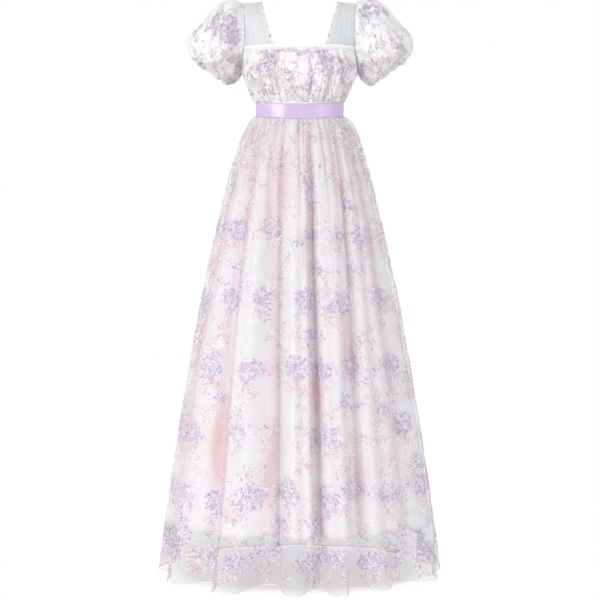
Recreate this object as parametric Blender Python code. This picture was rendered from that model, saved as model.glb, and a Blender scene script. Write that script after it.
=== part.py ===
"""A regency gown, hollow, in the form it takes when it is worn.

Metres, +Z up, the front faces -Y and +X is on the right of someone who looks at the front.
The origin lies midway between the tops of the two shoulder straps, where the shoulders carry the gown.
Sizes below are in millimetres and angles in degrees.
"""

import math
from collections import namedtuple

import bpy
from mathutils import Vector

MM = 0.001

# Cloth walls, and the gaps between pieces.
OVERLAY_WALL = 1.2
LINING_WALL = 1.0
BODICE_WALL = 1.6
STRAP_WALL = 1.5
RIBBON_WALL = 1.0
LACE_WALL = 1.0
SEAM_GAP = 0.4
LAYER_GAP = 0.5

# Heights at the side seams, below the tops of the straps.
HEM = -1407.0
LINING_HEM = -1280.0
RIBBON_BOTTOM = -283.0
WAIST_SEAM = -264.0
RIBBON_TOP = -246.0
UNDERARM = -170.0

# The armhole: an upright oval that stands out a little at the underarm and the shoulder.
ARMHOLE_HALF_HEIGHT = -UNDERARM / 2
ARMHOLE_FRONT = 58.0
ARMHOLE_BACK = 62.0
ARMHOLE_TOP_X = 142.0
ARMHOLE_BOTTOM_X = 145.0
ARMHOLE_HOLLOW = 9.0

# The necklines meet the armhole this far round it from the shoulder.
FRONT_NECK_TURN = 117.0
BACK_NECK_TURN = 99.0
FRONT_NECK = ARMHOLE_HALF_HEIGHT * (math.cos(math.radians(FRONT_NECK_TURN)) - 1)
BACK_NECK = ARMHOLE_HALF_HEIGHT * (math.cos(math.radians(BACK_NECK_TURN)) - 1)
ARMHOLE_ROWS = 5

# The straps narrow from the neckline to the shoulder.
STRAP_TOP_INNER_X = 105.0
STRAP_LOW_INNER_X = 72.0
STRAP_TOP_RISE = 3.5
STRAP_CURVE_DEPTH = 1.6
STRAP_CURVE_HEIGHT = 1.8
STRAP_COLUMNS = 3
STRAP_ROWS = 24

# Lace edging: a band on the cloth and scallops past its edge.
NECK_LACE_BAND = 6.0
NECK_LACE_FREE = 6.0
STRAP_LACE_BAND = 3.0
STRAP_LACE_FREE = 4.5
SCALLOP_RISE = 2.2
COLUMNS_PER_SCALLOP = 2
NECK_SCALLOPS = 26
NECK_LACE_SHARE = 0.97
STRAP_SCALLOPS = 20

# Horizontal sections of the gown. square is the exponent of a superellipse, and dip is how far
# the section's front centre lies below its sides.
Section = namedtuple("Section", "z half_width front back square dip")
SKIRT = [
    Section(WAIST_SEAM, 113, 91, 91, 2.2, 15),
    Section(RIBBON_BOTTOM, 113, 91, 91, 2.2, 15),
    Section(-303, 125, 101, 102, 2.2, 15),
    Section(-358, 149, 117, 120, 2.1, 13),
    Section(-455, 179, 137, 144, 2.1, 10),
    Section(-610, 219, 165, 178, 2.0, 6),
    Section(-805, 259, 200, 218, 2.0, 3),
    Section(-1030, 297, 241, 262, 2.0, 0),
    Section(-1280, 334, 288, 310, 2.0, 0),
    Section(HEM, 351, 312, 334, 2.0, 0),
]
BODICE = [
    Section(WAIST_SEAM, 113, 91, 91, 2.2, 15),
    Section(RIBBON_TOP, 113, 91, 91, 2.2, 15),
    Section(-225, 122, 106, 95, 2.3, 12),
    Section(-198, 133, 120, 98, 2.5, 8),
    Section(UNDERARM, ARMHOLE_BOTTOM_X, 123, 99, 2.5, 4),
    Section(-157, ARMHOLE_BOTTOM_X, 119, 98, 2.45, 2),
    Section(-140, ARMHOLE_BOTTOM_X, 110, 97, 2.4, 1),
    Section(FRONT_NECK, ARMHOLE_BOTTOM_X, 98, 96, 2.3, 0),
    Section(BACK_NECK, ARMHOLE_BOTTOM_X, 92, 91, 2.3, 0),
]

# Crests (+) and valleys (-) of the skirt's folds: where each lies round the waist and round the
# hem, 0 at the front centre and 90 at the +X side seam, and how far it stands out at the hem.
Fold = namedtuple("Fold", "waist hem out")
FRONT_FOLDS = [
    Fold(-90, -90, 0),
    Fold(-74, -72, -14),
    Fold(-60, -54, 20),
    Fold(-48, -39, -18),
    Fold(-36, -28, 38),
    Fold(-25, -13, -42),
    Fold(-4, -2, 35),
    Fold(11, 6, -38),
    Fold(21, 14, 40),
    Fold(34, 22, -22),
    Fold(44, 31, 20),
    Fold(55, 45, -16),
    Fold(65, 60, 18),
    Fold(77, 76, -12),
    Fold(90, 90, 0),
]
BACK_FOLD_COUNT = 6
BACK_FOLD_OUT = 26.0
BACK_FOLD_UNEVEN = 7.0
COLUMNS_PER_FOLD_SIDE = 4
LINING_FOLD_SHARE = 0.9
HEM_DROP_SHARE = 0.12

# How much of their size at the hem the folds have at each distance below the ribbon, and how far
# the lining hangs inside the net there.
Growth = namedtuple("Growth", "distance share inset")
GROWTH = [
    Growth(0, 0, 2),
    Growth(20, 0.08, 15),
    Growth(75, 0.18, 10),
    Growth(172, 0.3, 8),
    Growth(327, 0.45, 8),
    Growth(747, 0.78, 8),
    Growth(1124, 1, 9),
]

# Small gathers: how far they stand out at each distance from the ribbon's nearer edge.
Gather = namedtuple("Gather", "distance out")
SKIRT_GATHERS = [Gather(0, 0), Gather(20, 3.2), Gather(75, 3.0), Gather(172, 1.6), Gather(327, 0)]
BODICE_GATHERS = [Gather(0, 0), Gather(21, 2.6), Gather(48, 2.0), Gather(76, 1.2), Gather(129, 0)]
COLUMNS_PER_GATHER = 4
BODICE_FRONT_COLUMNS = 48
BODICE_BACK_COLUMNS = 32

# Rings of a puffed sleeve past the armhole, seen from the front: the highest point, the lowest
# point, half the depth from front to back, and the gathers' share of the size.
Puff = namedtuple("Puff", "top_x top_z low_x low_z depth gather")
SLEEVE = [
    Puff(150, 2, 151, -178, 71, 0.03),
    Puff(169, 8, 160, -189, 86, 0.02),
    Puff(205, -6, 172, -196, 94, 0.015),
    Puff(245, -50, 181, -198, 94, 0.01),
    Puff(276, -82, 184, -198, 86, 0.015),
    Puff(282, -108, 186, -196, 77, 0.025),
    Puff(272, -134, 189, -192, 62, 0.04),
    Puff(258, -129, 197, -174, 44, 0.03),
]
SLEEVE_GATHERS = 10
SLEEVE_COLUMNS = SLEEVE_GATHERS * COLUMNS_PER_GATHER
RIBBON_COLUMNS = 64

# Colours as linear RGB, with roughness.
Finish = namedtuple("Finish", "red green blue roughness")
EMBROIDERED_NET = Finish(0.80, 0.72, 0.80, 0.7)
WHITE_LINING = Finish(0.86, 0.86, 0.88, 0.5)
WHITE_LACE = Finish(0.88, 0.88, 0.89, 0.8)
LILAC_SATIN = Finish(0.62, 0.48, 0.72, 0.3)


def between(low, high, share):
    """The value that lies share of the way from low to high."""
    return low + (high - low) * share


def row_at(table, value):
    """A row read between the two rows of a table whose first columns lie on either side of value."""
    rows = sorted(table)
    if value <= rows[0][0]:
        return rows[0]
    for below, above in zip(rows, rows[1:]):
        if value <= above[0]:
            share = (value - below[0]) / (above[0] - below[0])
            return type(below)(*(between(a, b, share) for a, b in zip(below, above)))
    return rows[-1]


def signed_power(value, power):
    """A power that keeps the value's sign."""
    return math.copysign(abs(value) ** power, value)


def oval(section, half_width, turn, out=0.0):
    """A point of a section's superellipse, out millimetres past it along its normal."""
    depth = section.front if math.cos(turn) > 0 else section.back
    power = 2 / section.square
    x = half_width * signed_power(math.sin(turn), power)
    y = -depth * signed_power(math.cos(turn), power)
    # The normal of the plain ellipse is near enough the normal here.
    normal = Vector((math.sin(turn) / half_width, -math.cos(turn) / depth, 0)).normalized()
    z = section.z - section.dip * max(0.0, math.cos(turn)) ** 1.5
    return Vector((x, y, z)) + normal * out


def ease(share):
    """A smooth step from 0 to 1."""
    return share * share * (3 - 2 * share)


def back_folds():
    """The back's folds, from the +X side seam round to the -X one."""
    sides = 2 * BACK_FOLD_COUNT
    folds = [Fold(90, 90, 0)]
    for i in range(1, sides):
        turn = 90 + 180 * i / sides
        uneven = BACK_FOLD_UNEVEN * math.sin(2.3 * i)
        folds.append(Fold(turn, turn + 2 * math.sin(1.7 * i), (BACK_FOLD_OUT + uneven) * (-1) ** i))
    return folds + [Fold(270, 270, 0)]


def skirt_point(folds, column, z, lining=False):
    """A point of the skirt. column counts the sides of folds from the panel's first seam."""
    section = row_at(SKIRT, z)
    down = max(0.0, (RIBBON_BOTTOM - z) / (RIBBON_BOTTOM - HEM))
    i = min(int(column), len(folds) - 2)
    first, second = folds[i], folds[i + 1]
    near_waist = (1 - down) ** 2
    first_turn = between(first.hem, first.waist, near_waist)
    second_turn = between(second.hem, second.waist, near_waist)
    growth = row_at(GROWTH, RIBBON_BOTTOM - z)
    out = between(first.out, second.out, ease(column - i)) * growth.share
    if lining:
        out = out * LINING_FOLD_SHARE - growth.inset
    else:
        out += row_at(SKIRT_GATHERS, RIBBON_BOTTOM - z).out * math.cos(math.tau * column)
    turn = between(first_turn, second_turn, column - i)
    point = oval(section, section.half_width, math.radians(turn), out)
    point.z -= HEM_DROP_SHARE * out * down
    return point


def armhole(turn, side):
    """A point of the armhole's edge; turn is 0 at the shoulder, 90 at the front and 180 at the underarm."""
    up, forward = math.cos(turn), math.sin(turn)
    depth = ARMHOLE_FRONT if forward > 0 else ARMHOLE_BACK
    x = between(ARMHOLE_TOP_X, ARMHOLE_BOTTOM_X, (1 - up) / 2) - ARMHOLE_HOLLOW * forward**2
    return Vector((side * x, -depth * forward, ARMHOLE_HALF_HEIGHT * (up - 1)))


def armhole_turn(z, front):
    """Where the armhole's front or back edge passes height z."""
    turn = math.acos(max(-1.0, min(1.0, 1 + z / ARMHOLE_HALF_HEIGHT)))
    return turn if front else -turn


def bodice_point(share, z, front, out=0.0):
    """A point of the bodice; share runs from -1 at one side or armhole to 1 at the other."""
    section = row_at(BODICE, z)
    half_width, last = section.half_width, math.pi / 2
    if z > UNDERARM:
        edge = armhole(armhole_turn(z, front), 1)
        depth = section.front if front else section.back
        last = math.acos((abs(edge.y) / depth) ** (section.square / 2))
        half_width = edge.x / math.sin(last) ** (2 / section.square)
    turn = share * last if front else math.pi - share * last
    return oval(section, half_width, turn, out)


def strap_depth(z, neck, neck_depth):
    """How far the strap's inner edge stands from the shoulder line at height z."""
    up = max(0.0, min(1.0, (z - neck) / (STRAP_TOP_RISE - neck)))
    return neck_depth * (1 - up**STRAP_CURVE_HEIGHT) ** (1 / STRAP_CURVE_DEPTH)


def neck_share(neck, front):
    """How far round the bodice's top edge, as a share, the strap's inner edge meets it."""
    low, high = 0.0, 1.0
    for _ in range(30):
        middle = (low + high) / 2
        if bodice_point(middle, neck, front).x < STRAP_LOW_INNER_X:
            low = middle
        else:
            high = middle
    return low


def strap_point(turn, across, side):
    """A point of a strap; turn is 0 at the shoulder and across runs from the inner edge to the armhole."""
    front = turn > 0
    neck = FRONT_NECK if front else BACK_NECK
    outer = armhole(turn, 1)
    corner = bodice_point(neck_share(neck, front), neck, front)
    height = (outer.z - neck) / -neck
    inner_z = outer.z + STRAP_TOP_RISE * max(0.0, height)
    depth = strap_depth(inner_z, neck, abs(corner.y))
    x = between(STRAP_LOW_INNER_X, STRAP_TOP_INNER_X, max(0.0, height))
    inner = Vector((x, -depth if front else depth, inner_z))
    point = inner.lerp(outer, across)
    # Low down the strap bows out as the chest does, and the bow dies away towards the shoulder.
    share = between(neck_share(neck, front), 1, across)
    bow = bodice_point(share, neck, front) - corner.lerp(bodice_point(1, neck, front), across)
    point += Vector((bow.x, bow.y, 0)) * max(0.0, 1 - height)
    return Vector((side * point.x, point.y, point.z))


def material(name, finish):
    """A Principled material in one colour."""
    made = bpy.data.materials.get(name) or bpy.data.materials.new(name)
    made.use_nodes = True
    shader = made.node_tree.nodes["Principled BSDF"]
    shader.inputs["Base Color"].default_value = (finish.red, finish.green, finish.blue, 1)
    shader.inputs["Roughness"].default_value = finish.roughness
    return made


def normal_at(rows, i, j, closed):
    """The outward normal of a grid of points that run down its rows and anticlockwise along them."""
    up, down = rows[max(i - 1, 0)][j], rows[min(i + 1, len(rows) - 1)][j]
    last = len(rows[i]) - 1
    before = rows[i][j - 1] if closed or j > 0 else rows[i][j]
    after = rows[i][0 if closed and j == last else min(j + 1, last)]
    normal = (down - up).cross(after - before)
    # At a side seam the wall goes straight in, so that neighbours stay clear of each other.
    if abs(rows[i][j].y) < SEAM_GAP:
        normal.y = 0
    return normal.normalized()


def cloth(name, rows, wall, finish, collection, closed=False, flip=False, outward=False):
    """A closed wall on a grid of points in millimetres, as thick as wall, inwards unless outward.

    Seen from outside, rows run down and their points to the right; flip is for points to the left.
    """
    width = len(rows[0])
    sign = -1 if flip else 1
    shift = wall if outward else -wall
    moved = []
    for i in range(len(rows)):
        for j in range(width):
            moved.append(rows[i][j] + normal_at(rows, i, j, closed) * sign * shift)
    kept = [point for row in rows for point in row]
    outer, inner = (moved, kept) if outward else (kept, moved)
    count = len(outer)
    faces = []
    for i in range(len(rows) - 1):
        for j in range(width if closed else width - 1):
            k = (j + 1) % width
            a, b, c, d = i * width + j, (i + 1) * width + j, (i + 1) * width + k, i * width + k
            # Both skins are split along the same diagonal, so that they can't cross.
            for face in ((a, b, c), (a, c, d)):
                faces.append(face)
                faces.append(tuple(count + index for index in reversed(face)))
    for j in range(width if closed else width - 1):
        k = (j + 1) % width
        low = (len(rows) - 1) * width
        faces.append((j, k, count + k, count + j))
        faces.append((low + k, low + j, count + low + j, count + low + k))
    if not closed:
        for i in range(len(rows) - 1):
            first, below = i * width, (i + 1) * width
            faces.append((below, first, count + first, count + below))
            first, below = first + width - 1, below + width - 1
            faces.append((first, below, count + below, count + first))
    if flip:
        faces = [face[::-1] for face in faces]
    mesh = bpy.data.meshes.new(name)
    mesh.from_pydata([point * MM for point in outer + inner], [], faces)
    mesh.materials.append(material(*finish))
    collection.objects.link(bpy.data.objects.new(name, mesh))


def seamed(point, front):
    """Keeps a point half a seam's gap in front of the side seams, or behind them."""
    if front:
        point.y = min(point.y, -SEAM_GAP / 2)
    else:
        point.y = max(point.y, SEAM_GAP / 2)
    return point


def skirt_panels(collection):
    """The net overlay and the lining under it, each a front and a back panel."""
    heights = [WAIST_SEAM - SEAM_GAP / 2] + [row.z for row in SKIRT[1:]]
    lining_heights = [z for z in heights if z >= LINING_HEM and z != RIBBON_BOTTOM]
    net, lining = ("embroidered_net", EMBROIDERED_NET), ("white_lining", WHITE_LINING)
    for side, folds in (("front", FRONT_FOLDS), ("back", back_folds())):
        front = side == "front"
        columns = range((len(folds) - 1) * COLUMNS_PER_FOLD_SIDE + 1)
        outer, inner = [], []
        for z in heights:
            points = (skirt_point(folds, j / COLUMNS_PER_FOLD_SIDE, z) for j in columns)
            outer.append([seamed(point, front) for point in points])
        for z in lining_heights:
            points = (skirt_point(folds, j / COLUMNS_PER_FOLD_SIDE, z, True) for j in columns)
            inner.append([seamed(point, front) for point in points])
        cloth(f"skirt_{side}", outer, OVERLAY_WALL, net, collection)
        cloth(f"underskirt_{side}", inner, LINING_WALL, lining, collection)


def bodice_panels(collection):
    """The gathered front and back of the bodice, cut straight across at the neck."""
    net = ("embroidered_net", EMBROIDERED_NET)
    for side, columns, neck_turn in (
        ("front", BODICE_FRONT_COLUMNS, FRONT_NECK_TURN),
        ("back", BODICE_BACK_COLUMNS, BACK_NECK_TURN),
    ):
        front = side == "front"
        heights = [row.z for row in BODICE if row.z < UNDERARM]
        heights[0] += SEAM_GAP / 2
        for i in range(ARMHOLE_ROWS + 1):
            turn = between(180, neck_turn, i / ARMHOLE_ROWS)
            heights.append(armhole(math.radians(turn), 1).z)
        rows = []
        for z in reversed(heights):
            gather = row_at(BODICE_GATHERS, max(0.0, z - RIBBON_TOP)).out
            row = []
            for j in range(columns + 1):
                wave = math.cos(math.tau * j / COLUMNS_PER_GATHER)
                edge_fade = math.sqrt(max(0.0, 1 - (2 * j / columns - 1) ** 2))
                share = 2 * j / columns - 1
                point = bodice_point(share, z, front, gather * wave * edge_fade)
                row.append(seamed(point, front))
            rows.append(row)
        cloth(f"bodice_{side}", rows, BODICE_WALL, net, collection, flip=not front)


def ribbon(collection):
    """The satin ribbon round the high waist, over the seam of bodice and skirt."""
    rows = []
    for z in (RIBBON_TOP, RIBBON_BOTTOM):
        section = row_at(SKIRT, z)
        turns = (math.tau * j / RIBBON_COLUMNS for j in range(RIBBON_COLUMNS))
        rows.append([oval(section, section.half_width, turn, LAYER_GAP) for turn in turns])
        for point in rows[-1]:
            point.z += z - section.z
    satin = ("lilac_satin", LILAC_SATIN)
    cloth("ribbon_belt", rows, RIBBON_WALL, satin, collection, closed=True, outward=True)


def straps(collection):
    """The plain shoulder straps, from the front neckline over the shoulder to the back one."""
    first = armhole_turn(FRONT_NECK + SEAM_GAP, True)
    last = armhole_turn(BACK_NECK + SEAM_GAP, False)
    for name, side in (("strap_left", 1), ("strap_right", -1)):
        rows = []
        for i in range(STRAP_ROWS + 1):
            turn = between(first, last, i / STRAP_ROWS)
            rows.append([strap_point(turn, j / STRAP_COLUMNS, side) for j in range(STRAP_COLUMNS + 1)])
        lining = ("white_lining", WHITE_LINING)
        cloth(name, rows, STRAP_WALL, lining, collection, flip=side > 0)


def scallop(column):
    """The rise of a scalloped edge at a column."""
    return SCALLOP_RISE * abs(math.sin(math.pi * column / COLUMNS_PER_SCALLOP))


def neck_lace(collection):
    """The lace edging along the front and back necklines."""
    lace = ("white_lace", WHITE_LACE)
    for side, neck in (("front", FRONT_NECK), ("back", BACK_NECK)):
        front = side == "front"
        columns = NECK_SCALLOPS * COLUMNS_PER_SCALLOP
        band, edge, top = [], [], []
        for j in range(columns + 1):
            share = (2 * j / columns - 1) * NECK_LACE_SHARE
            band.append(bodice_point(share, neck - NECK_LACE_BAND, front, LAYER_GAP))
            edge.append(bodice_point(share, neck, front, LAYER_GAP))
            top.append(bodice_point(share, neck, front, 3 * LAYER_GAP))
            top[-1].z += NECK_LACE_FREE + scallop(j)
        rows = [top, edge, band]
        cloth(f"neck_lace_{side}", rows, LACE_WALL, lace, collection, flip=not front, outward=True)


def strap_lace(collection):
    """The scalloped lace edging along the inner edge of each strap."""
    clear = NECK_LACE_FREE + SCALLOP_RISE + SEAM_GAP
    first = armhole_turn(FRONT_NECK + clear, True)
    last = armhole_turn(BACK_NECK + clear, False)
    columns = STRAP_SCALLOPS * COLUMNS_PER_SCALLOP
    for name, side in (("strap_lace_left", 1), ("strap_lace_right", -1)):
        rows = []
        for j in range(columns + 1):
            turn = between(first, last, j / columns)
            inner, outer = strap_point(turn, 0, side), strap_point(turn, 1 / STRAP_COLUMNS, side)
            step = strap_point(turn - 0.01, 0, side) - strap_point(turn + 0.01, 0, side)
            across = (outer - inner).normalized()
            normal = step.cross(across).normalized() * -side
            lift = normal * LAYER_GAP
            free = STRAP_LACE_FREE + scallop(j)
            rows.append([inner - across * free + lift, inner + across * STRAP_LACE_BAND + lift])
        lace = ("white_lace", WHITE_LACE)
        cloth(name, rows, LACE_WALL, lace, collection, flip=side > 0, outward=True)


def sleeve_point(puff, turn, side):
    """A point of a ring of the sleeve; turn is 0 at its highest point and 90 at the front."""
    size = 1 + puff.gather * math.cos(SLEEVE_GATHERS * turn)
    up, forward = math.cos(turn) * size, math.sin(turn) * size
    x = (puff.top_x + puff.low_x) / 2 + (puff.top_x - puff.low_x) / 2 * up
    z = (puff.top_z + puff.low_z) / 2 + (puff.top_z - puff.low_z) / 2 * up
    return Vector((side * x, -puff.depth * forward, z))


def sleeves(collection):
    """The short puffed sleeves, gathered into the armhole and again at the cuff."""
    net = ("embroidered_net", EMBROIDERED_NET)
    for name, side in (("sleeve_left", 1), ("sleeve_right", -1)):
        turns = [math.tau * j / SLEEVE_COLUMNS for j in range(SLEEVE_COLUMNS)]
        rows = [[armhole(turn, side) + Vector((side * SEAM_GAP, 0, 0)) for turn in turns]]
        for puff in SLEEVE:
            rows.append([sleeve_point(puff, turn, side) for turn in turns])
        cloth(name, rows, OVERLAY_WALL, net, collection, closed=True, flip=side > 0)


def main():
    for old in list(bpy.data.objects):
        bpy.data.objects.remove(old)
    gown = bpy.data.collections.new("regency_gown")
    bpy.context.scene.collection.children.link(gown)
    skirt_panels(gown)
    bodice_panels(gown)
    ribbon(gown)
    straps(gown)
    neck_lace(gown)
    strap_lace(gown)
    sleeves(gown)


main()
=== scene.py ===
"""The looks of a white regency gown: embroidered net, a white lining, lace edging and a lilac satin ribbon.

Sizes below are in millimetres and angles in degrees, and meshes are scaled to metres when they are made.
+Z is up, the front faces -Y, and +X is on the right of someone who looks at the front.
"""

import math

import bpy
import numpy as np
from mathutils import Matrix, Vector


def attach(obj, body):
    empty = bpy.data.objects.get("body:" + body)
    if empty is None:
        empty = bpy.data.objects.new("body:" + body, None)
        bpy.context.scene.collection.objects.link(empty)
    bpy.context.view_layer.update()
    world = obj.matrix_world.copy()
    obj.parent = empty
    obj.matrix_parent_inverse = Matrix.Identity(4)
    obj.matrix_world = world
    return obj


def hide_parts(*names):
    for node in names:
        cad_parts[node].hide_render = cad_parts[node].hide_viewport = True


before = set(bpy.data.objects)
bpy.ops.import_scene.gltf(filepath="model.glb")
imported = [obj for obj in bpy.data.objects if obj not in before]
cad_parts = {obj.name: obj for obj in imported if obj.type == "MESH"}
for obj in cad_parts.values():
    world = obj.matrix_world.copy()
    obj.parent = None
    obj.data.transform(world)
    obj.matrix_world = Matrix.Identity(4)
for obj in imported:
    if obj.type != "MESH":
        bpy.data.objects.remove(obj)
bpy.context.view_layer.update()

MM = 0.001
TAU = math.tau

# Heights at the side seams, below the tops of the straps.
UNDERARM = -170.0
RIBBON_TOP = -246.0
WAIST_SEAM = -264.0
RIBBON_BOTTOM = -283.0
LINING_HEM = -1290.0
HEM = -1407.0

# No stitch is made between these two heights, near the ribbon.
BARE_TOP = RIBBON_TOP - 10
BARE_BOTTOM = RIBBON_BOTTOM - 9

# The floor: its height and radius, and the half width, half depth and place of the gown's soft shadow,
# which is painted on the floor.
FLOOR = -1415.0
FLOOR_RADIUS = 760.0
SHADE = (338.0, 470.0, 168.0)

# The shade's exponent as a superellipse, its light in the middle, and where and over how much it fades,
# as shares of its own size.
SHADE_SQUARE = 2.5
SHADE_LIGHT = 0.42
SHADE_EDGE = 0.82
SHADE_FADE = 0.26

# The camera, in metres: its distance and height, and the width it sees at the gown.
CAMERA_AWAY = 3.7
CAMERA_RIGHT = 0.001
CAMERA_HEIGHT = -0.740
VIEW_WIDTH = 1.5
SENSOR = 36

# The lights, in metres and watts: each one's name, place, the height it faces, and its power.
LIGHT_SIZE = (0.8, 1.6)
LIGHTS = [
    ("key", (-2.3, -2.85, 0.1), -0.75, 58),
    ("fill", (2.6, -2.5, -0.3), -0.8, 20),
    ("back_key", (1.3, 3.4, 0.1), -0.75, 34),
    ("back_fill", (-1.5, 3.3, -0.3), -0.8, 18),
]
SOFT_LIGHT = 0.83

# The armhole: an upright oval that stands out a little at the underarm and the shoulder.
ARMHOLE_HALF_HEIGHT = -UNDERARM / 2
ARMHOLE_FRONT = 58.0
ARMHOLE_BACK = 62.0
ARMHOLE_TOP_X = 142.0
ARMHOLE_BOTTOM_X = 145.0
ARMHOLE_HOLLOW = 9.0
FRONT_NECK_TURN = 117.0
BACK_NECK_TURN = 99.0
FRONT_NECK = ARMHOLE_HALF_HEIGHT * (math.cos(math.radians(FRONT_NECK_TURN)) - 1)
BACK_NECK = ARMHOLE_HALF_HEIGHT * (math.cos(math.radians(BACK_NECK_TURN)) - 1)

# The straps narrow from the neckline to the shoulder.
STRAP_TOP_INNER_X = 105.0
STRAP_LOW_INNER_X = 72.0
STRAP_TOP_RISE = 3.5
STRAP_CURVE_DEPTH = 1.6
STRAP_CURVE_HEIGHT = 1.8

# Horizontal sections: height, half width, front depth, back depth, exponent of the superellipse,
# and how far the front centre lies below the sides.
SKIRT = np.array([
    (WAIST_SEAM, 113, 91, 91, 2.2, 15),
    (RIBBON_BOTTOM, 113, 91, 91, 2.2, 15),
    (-303, 125, 101, 102, 2.2, 15),
    (-358, 149, 117, 120, 2.1, 13),
    (-455, 179, 137, 144, 2.1, 10),
    (-610, 219, 165, 178, 2.0, 6),
    (-805, 259, 200, 218, 2.0, 3),
    (-1030, 297, 241, 262, 2.0, 0),
    (-1280, 334, 288, 310, 2.0, 0),
    (HEM, 351, 312, 334, 2.0, 0),
])
BODICE = np.array([
    (WAIST_SEAM, 113, 91, 91, 2.2, 15),
    (RIBBON_TOP, 113, 91, 91, 2.2, 15),
    (-225, 122, 106, 95, 2.3, 12),
    (-198, 133, 120, 98, 2.5, 8),
    (UNDERARM, ARMHOLE_BOTTOM_X, 123, 99, 2.5, 4),
    (-157, ARMHOLE_BOTTOM_X, 119, 98, 2.45, 2),
    (-140, ARMHOLE_BOTTOM_X, 110, 97, 2.4, 1),
    (FRONT_NECK, ARMHOLE_BOTTOM_X, 98, 96, 2.3, 0),
    (BACK_NECK, ARMHOLE_BOTTOM_X, 92, 91, 2.3, 0),
])

# Crests and valleys of the skirt: turn round the waist, turn round the hem, and how far out at the hem.
FRONT_FOLDS = np.array([
    (-90, -90, 0),
    (-74, -72, -14),
    (-60, -54, 20),
    (-48, -39, -18),
    (-36, -28, 38),
    (-25, -13, -42),
    (-4, -2, 35),
    (5, 6, -20),
    (17, 14, 40),
    (34, 22, -22),
    (44, 31, 20),
    (55, 45, -16),
    (65, 60, 18),
    (77, 76, -12),
    (90, 90, 0),
], dtype=float)
BACK_FOLD_COUNT = 6
BACK_FOLD_OUT = 26.0
BACK_FOLD_UNEVEN = 7.0

# Distance below the ribbon, the folds' share of their size at the hem, and the lining's inset there.
GROWTH = np.array([
    (0, 0, 2),
    (20, 0.08, 15),
    (75, 0.18, 10),
    (172, 0.3, 8),
    (327, 0.42, 8),
    (747, 0.64, 8),
    (1000, 0.76, 8),
    (1124, 1, 9),
], dtype=float)
HEM_DROP_SHARE = 0.12
LINING_DROP_SHARE = 0.45

# Above the hem, the valleys' share of their depth in the table, how far they lean to the right, in
# columns, and the powers by which a crest falls to them and climbs again.
VALLEY_DEPTH = 0.45
VALLEY_LEAN = 0.4
FALL_POWER = 1.8
CLIMB_POWER = 1.9

# The tubes of the hem: how far down they start, as a share, and how steep their sides are.
TUBE_START = 0.88
TUBE_STEEPNESS = 1.8

# The skirt's ripples: their size, and the columns over which they fade towards a seam.
RIPPLE_SIZE = 5.0
RIPPLE_FADE = 3.0

# Rings of a sleeve past the armhole: highest point, lowest point, and half the depth.
SLEEVE = [
    (150, 2, 151, -178, 71),
    (169, 8, 160, -189, 86),
    (205, -6, 172, -196, 94),
    (245, -50, 181, -198, 94),
    (276, -82, 184, -198, 86),
    (282, -108, 186, -196, 77),
    (272, -134, 189, -192, 62),
    (258, -129, 197, -174, 44),
]

# Thread colours as sRGB, each with how often it turns up.
LILAC_THREADS = [
    ((226, 202, 237), 0.32),
    ((208, 180, 226), 0.25),
    ((170, 138, 194), 0.14),
    ((254, 250, 255), 0.29),
]
PINK_THREADS = [
    ((250, 221, 229), 0.36),
    ((242, 203, 216), 0.24),
    ((216, 174, 192), 0.08),
    ((255, 248, 250), 0.32),
]
PALE_THREADS = [
    ((250, 230, 235), 0.28),
    ((230, 216, 236), 0.22),
    ((190, 168, 190), 0.14),
    ((255, 254, 254), 0.36),
]
# Darker threads for the skirt's outer folds: painted shade for its sides.
PAINTED_SHADE_THREADS = [
    ((168, 148, 170), 0.2),
    ((200, 182, 204), 0.38),
    ((244, 232, 244), 0.42),
]
STEM_THREADS = [((250, 232, 237), 0.6), ((212, 190, 208), 0.4)]
THREAD_SIDES = 6


def linear(red, green, blue):
    """A colour given as sRGB from 0 to 255, as linear RGB."""
    shares = np.array([red, green, blue]) / 255
    return tuple(np.where(shares <= 0.04045, shares / 12.92, ((shares + 0.055) / 1.055) ** 2.4))


def smooth_read(table, place):
    """Reads a table's columns at places along its first one, on smooth curves that don't overshoot."""
    table = table[np.argsort(table[:, 0])]
    x, y = table[:, 0], table[:, 1:]
    step = np.diff(x)[:, None]
    slope = np.diff(y, axis=0) / step
    tangent = np.vstack([slope[:1], (slope[1:] + slope[:-1]) / 2, slope[-1:]])
    tangent[1:-1][slope[1:] * slope[:-1] <= 0] = 0
    place = np.clip(np.asarray(place, dtype=float), x[0], x[-1])
    i = np.clip(np.searchsorted(x, place) - 1, 0, len(x) - 2)
    h = step[i]
    t = ((place - x[i]) / h[..., 0])[..., None]
    value = (2 * t**3 - 3 * t**2 + 1) * y[i] + (3 * t**2 - 2 * t**3) * y[i + 1]
    value += h * ((t**3 - 2 * t**2 + t) * tangent[i] + (t**3 - t**2) * tangent[i + 1])
    return np.moveaxis(value, -1, 0)


def ease(share):
    """A smooth step from 0 to 1."""
    share = np.clip(share, 0, 1)
    return share * share * (3 - 2 * share)


def signed_power(value, power):
    """A power that keeps the value's sign."""
    return np.sign(value) * np.abs(value) ** power


def oval(z, half_width, front, back, square, dip, turn, out):
    """Points of superellipses at height z, out millimetres past them; turn is 0 at the front centre."""
    facing = np.cos(turn)
    depth = np.where(facing > 0, front, back)
    x = half_width * signed_power(np.sin(turn), 2 / square)
    y = -depth * signed_power(facing, 2 / square)
    nx, ny = np.sin(turn) / half_width, -facing / depth
    length = np.hypot(nx, ny)
    z = z - dip * np.maximum(0, facing) ** 1.5
    return np.stack([x + nx / length * out, y + ny / length * out, z + 0 * x], -1)


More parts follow.
